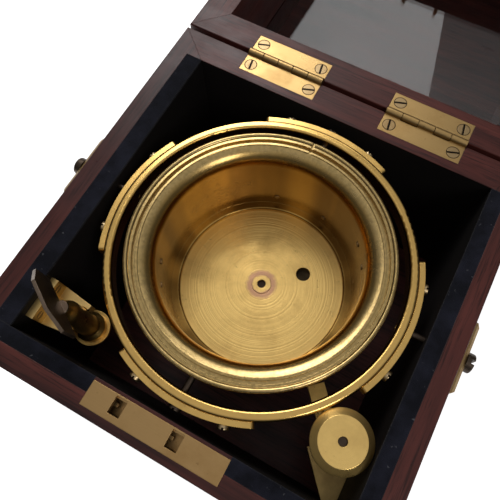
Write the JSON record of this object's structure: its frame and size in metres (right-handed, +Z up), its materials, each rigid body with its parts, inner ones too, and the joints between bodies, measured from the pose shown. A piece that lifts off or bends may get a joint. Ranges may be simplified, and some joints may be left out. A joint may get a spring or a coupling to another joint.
{
  "type": "marine chronometer",
  "caption": "Three-tier mahogany box with glazed hinged section, gimballed brass bowl, gimbal lock, winding key in its holder and box lock",
  "frame": {"origin": "centre of the underside of the lower case", "axes": "+X right along the front, +Y from the front to the hinged back, +Z up"},
  "size_m": [0.1956, 0.367, 0.1331],
  "materials": {
    "mahogany": "old French polish",
    "velvet": "dark worn velvet",
    "pane_glass": "clear pane",
    "bright_brass": "turned and lacquered",
    "aged_brass": "tarnished",
    "dark_steel": "browned"
  },
  "bodies": {
    "case": {"base_board": "mahogany", "wall_front": "mahogany", "wall_right": "mahogany", "wall_back": "mahogany", "wall_left": "mahogany", "velvet_left": "velvet", "velvet_right": "velvet", "velvet_front": "velvet", "lock_plate": "bright_brass", "lock_case": "bright_brass", "case_hinge_leaves": "bright_brass", "case_hinge_pins": "aged_brass", "case_hinge_screws": "aged_brass", "ring_pivots": "aged_brass", "pivot_plates": "bright_brass", "pivot_plate_screws": "aged_brass", "lock_shelf": "bright_brass", "lock_shelf_screws": "aged_brass", "key_holder": "bright_brass", "key_holder_screws": "aged_brass"},
    "bolt": {"lock_bolt": "bright_brass"},
    "ring": {"gimbal_ring": "bright_brass", "ring_plates": "bright_brass", "ring_plate_screws": "aged_brass", "bowl_pivots": "aged_brass"},
    "bowl": {"bowl_body": "bright_brass", "bowl_floor": "bright_brass", "bowl_screws": "aged_brass", "shutter_stud": "aged_brass"},
    "shutter": {"dust_shutter": "bright_brass", "shutter_spring": "dark_steel"},
    "gimbal_lock": {"gimbal_lock_spindle": "bright_brass", "gimbal_lock_knob": "bright_brass", "gimbal_lock_arm": "bright_brass", "gimbal_lock_nut": "aged_brass"},
    "winding_key": {"key_barrel": "bright_brass", "key_grip": "dark_steel"},
    "glazed_section": {"section_wall_front": "mahogany", "section_wall_right": "mahogany", "section_wall_back": "mahogany", "section_wall_left": "mahogany", "section_glass": "pane_glass", "glass_beading": "mahogany", "link_plate": "bright_brass", "section_hinge_leaves": "bright_brass", "section_screws": "aged_brass", "lid_hinge_pins": "aged_brass"},
    "upper_lid": {"lid_wall_front": "mahogany", "lid_wall_right": "mahogany", "lid_wall_back": "mahogany", "lid_wall_left": "mahogany", "lid_panel": "mahogany", "lid_hinge_leaves": "bright_brass", "lid_hinge_screws": "aged_brass"}
  },
  "joints": [
    {"name": "section_hinge", "type": "hinge", "parent": "case", "child": "glazed_section", "pos_m": [0, 0.0923, 0.10815], "axis": [-1, 0, 0], "range_deg": [-180, 0]},
    {"name": "lid_hinge", "type": "hinge", "parent": "glazed_section", "child": "upper_lid", "pos_m": [0, 0.0932, 0.05785], "axis": [-1, 0, 0], "range_deg": [0, 3]},
    {"name": "ring_swing", "type": "hinge", "parent": "case", "child": "ring", "pos_m": [0, 0, 0.1016], "axis": [1, 0, 0], "range_deg": [-30, 30]},
    {"name": "bowl_swing", "type": "hinge", "parent": "ring", "child": "bowl", "pos_m": [0, 0, 0.1016], "axis": [0, 1, 0], "range_deg": [-30, 30]},
    {"name": "shutter_turn", "type": "hinge", "parent": "bowl", "child": "shutter", "pos_m": [0, 0, 0.0575], "axis": [0, 0, 1], "range_deg": [0, 60], "stiffness_Nm_per_rad": 0.002},
    {"name": "gimbal_lock_turn", "type": "hinge", "parent": "case", "child": "gimbal_lock", "pos_m": [0.0634, -0.0517, 0.068], "axis": [0, 0, 1], "range_deg": [-45, 0]},
    {"name": "key_release", "type": "slide", "parent": "case", "child": "winding_key", "axis": [1, 0, 0], "range_m": [0, 0.009]},
    {"name": "bolt_throw", "type": "slide", "parent": "case", "child": "bolt", "axis": [1, 0, 0], "range_m": [0, 0.004]}
  ]
}
